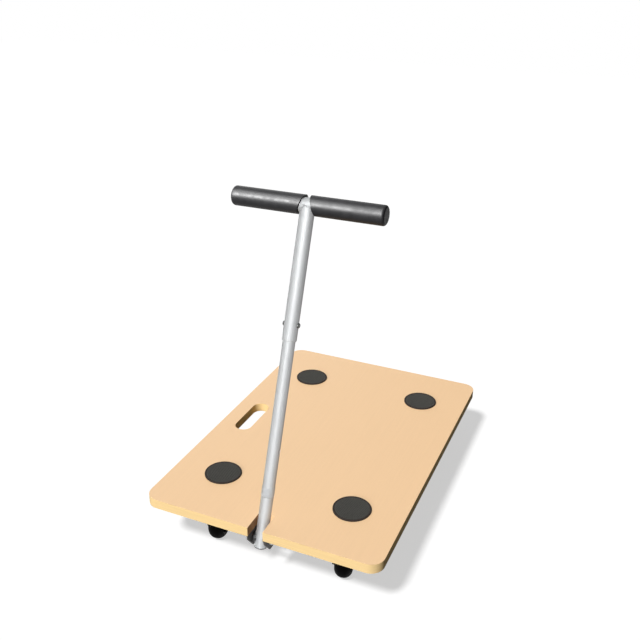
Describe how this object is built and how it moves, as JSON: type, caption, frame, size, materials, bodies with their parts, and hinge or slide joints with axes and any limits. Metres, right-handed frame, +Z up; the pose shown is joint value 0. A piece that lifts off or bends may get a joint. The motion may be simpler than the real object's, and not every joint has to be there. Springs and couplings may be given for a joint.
{
  "type": "platform dolly",
  "caption": "Flat platform dolly on swivel casters, with round grip pads, a carrying slot and a tilting, telescopic T-handle.",
  "frame": {"origin": "on the floor, under the middle of the board", "axes": "+X across the board, to the right when its notched edge is nearest; +Y along the board, away from the notched edge; +Z up"},
  "size_m": [0.39, 0.565, 0.5593],
  "materials": {
    "board": "smooth pale beech-coloured face on fibreboard",
    "pad_rubber": "matte grip rubber",
    "bracket_black": "black powder coat",
    "screw_steel": "zinc plated",
    "tube_silver": "satin silver",
    "plug_black": "matte black",
    "nylon_black": "black nylon",
    "ring_grey": "light grey",
    "spring_steel": "spring strip",
    "button_steel": "polished",
    "grip_foam": "soft charcoal sleeve",
    "caster_black": "black",
    "ball_steel": "bearing steel",
    "hub_black": "moulded black",
    "tyre_black": "black rubber"
  },
  "bodies": {
    "deck": {"deck_board": "board", "pad_front_left": "pad_rubber", "pad_front_right": "pad_rubber", "pad_rear_left": "pad_rubber", "pad_rear_right": "pad_rubber", "hinge_bracket": "bracket_black", "bracket_screws": "screw_steel", "pivot_bolt": "screw_steel", "pivot_nut": "screw_steel", "caster_screws": "screw_steel", "caster_plate_fl": "caster_black", "caster_kingpin_fl": "screw_steel", "caster_plate_fr": "caster_black", "caster_kingpin_fr": "screw_steel", "caster_plate_rl": "caster_black", "caster_kingpin_rl": "screw_steel", "caster_plate_rr": "caster_black", "caster_kingpin_rr": "screw_steel"},
    "pole": {"lower_tube": "tube_silver", "tube_plug": "plug_black", "pivot_bushes": "nylon_black", "tube_guide": "nylon_black", "button_spring": "spring_steel"},
    "button_left": {"snap_button_left": "button_steel"},
    "button_right": {"snap_button_right": "button_steel"},
    "handle": {"upper_tube": "tube_silver", "guide_ring": "ring_grey", "crossbar": "tube_silver", "tee_weld": "tube_silver", "grip_left": "grip_foam", "grip_right": "grip_foam"},
    "fork_fl": {"caster_fork_fl": "caster_black", "caster_axle_fl": "screw_steel", "caster_nut_fl": "screw_steel", "caster_balls_fl": "ball_steel"},
    "wheel_fl": {"wheel_hub_fl": "hub_black", "tyre_fl": "tyre_black"},
    "fork_fr": {"caster_fork_fr": "caster_black", "caster_axle_fr": "screw_steel", "caster_nut_fr": "screw_steel", "caster_balls_fr": "ball_steel"},
    "wheel_fr": {"wheel_hub_fr": "hub_black", "tyre_fr": "tyre_black"},
    "fork_rl": {"caster_fork_rl": "caster_black", "caster_axle_rl": "screw_steel", "caster_nut_rl": "screw_steel", "caster_balls_rl": "ball_steel"},
    "wheel_rl": {"wheel_hub_rl": "hub_black", "tyre_rl": "tyre_black"},
    "fork_rr": {"caster_fork_rr": "caster_black", "caster_axle_rr": "screw_steel", "caster_nut_rr": "screw_steel", "caster_balls_rr": "ball_steel"},
    "wheel_rr": {"wheel_hub_rr": "hub_black", "tyre_rr": "tyre_black"}
  },
  "joints": [
    {"name": "handle_tilt", "type": "hinge", "parent": "deck", "child": "pole", "pos_m": [0, -0.2618, 0.0697], "axis": [1, 0, 0], "range_deg": [0, 110]},
    {"name": "handle_extend", "type": "slide", "parent": "pole", "child": "handle", "axis": [0, 0.3223, 0.9466], "range_m": [0, 0.19], "deforming": ["snap_button_left", "snap_button_right"]},
    {"name": "button_left_press", "type": "slide", "parent": "pole", "child": "button_left", "axis": [1, 0, 0], "range_m": [0, 0.0047], "stiffness_N_per_m": 400, "springref_m": -0.004, "deforming": ["button_spring"]},
    {"name": "button_right_press", "type": "slide", "parent": "pole", "child": "button_right", "axis": [-1, 0, 0], "range_m": [0, 0.0047], "stiffness_N_per_m": 400, "springref_m": -0.004, "deforming": ["button_spring"]},
    {"name": "swivel_fl", "type": "hinge", "parent": "deck", "child": "fork_fl", "pos_m": [-0.11, -0.1835, 0.075], "axis": [0, 0, 1], "continuous": true},
    {"name": "roll_fl", "type": "hinge", "parent": "fork_fl", "child": "wheel_fl", "pos_m": [-0.10523, -0.20804, 0.027], "axis": [0.9816, 0.1908, 0], "continuous": true},
    {"name": "swivel_fr", "type": "hinge", "parent": "deck", "child": "fork_fr", "pos_m": [0.11, -0.1835, 0.075], "axis": [0, 0, 1], "continuous": true},
    {"name": "roll_fr", "type": "hinge", "parent": "fork_fr", "child": "wheel_fr", "pos_m": [0.11477, -0.20804, 0.027], "axis": [0.9816, 0.1908, 0], "continuous": true},
    {"name": "swivel_rl", "type": "hinge", "parent": "deck", "child": "fork_rl", "pos_m": [-0.11, 0.1835, 0.075], "axis": [0, 0, 1], "continuous": true},
    {"name": "roll_rl", "type": "hinge", "parent": "fork_rl", "child": "wheel_rl", "pos_m": [-0.10523, 0.15896, 0.027], "axis": [0.9816, 0.1908, 0], "continuous": true},
    {"name": "swivel_rr", "type": "hinge", "parent": "deck", "child": "fork_rr", "pos_m": [0.11, 0.1835, 0.075], "axis": [0, 0, 1], "continuous": true},
    {"name": "roll_rr", "type": "hinge", "parent": "fork_rr", "child": "wheel_rr", "pos_m": [0.11477, 0.15896, 0.027], "axis": [0.9816, 0.1908, 0], "continuous": true}
  ]
}
